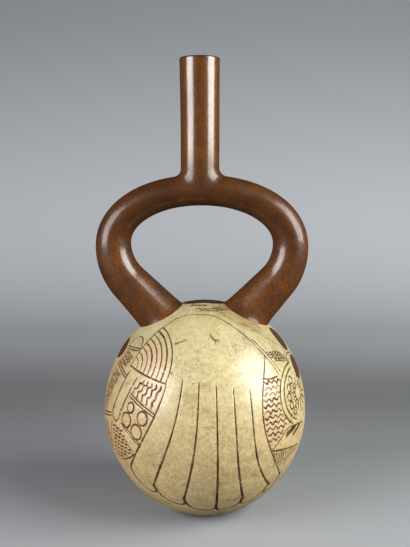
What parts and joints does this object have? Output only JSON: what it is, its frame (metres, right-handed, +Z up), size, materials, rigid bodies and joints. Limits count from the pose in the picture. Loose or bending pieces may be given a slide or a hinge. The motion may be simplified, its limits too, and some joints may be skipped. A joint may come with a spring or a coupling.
{
  "type": "stirrup spout vessel",
  "caption": "Hollow fired-clay bottle with an egg-shaped body, a tubular stirrup handle and one straight spout, standing on a small flat underside.",
  "frame": {"origin": "centre of the flat underside, on the ground, which is where the body's own axis meets it", "axes": "+Z up along the body's axis and the spout; the stirrup's arch lies in the X-Z plane; -Y is the front, with the fan of long feathers"},
  "size_m": [0.1316, 0.127, 0.28],
  "materials": {
    "slip_painted_clay": "burnished slip, cream on the body with dark incised lines, red-brown on the stirrup and the spout"
  },
  "bodies": {
    "root": {"stirrup_spout_vessel": "slip_painted_clay"}
  },
  "joints": []
}
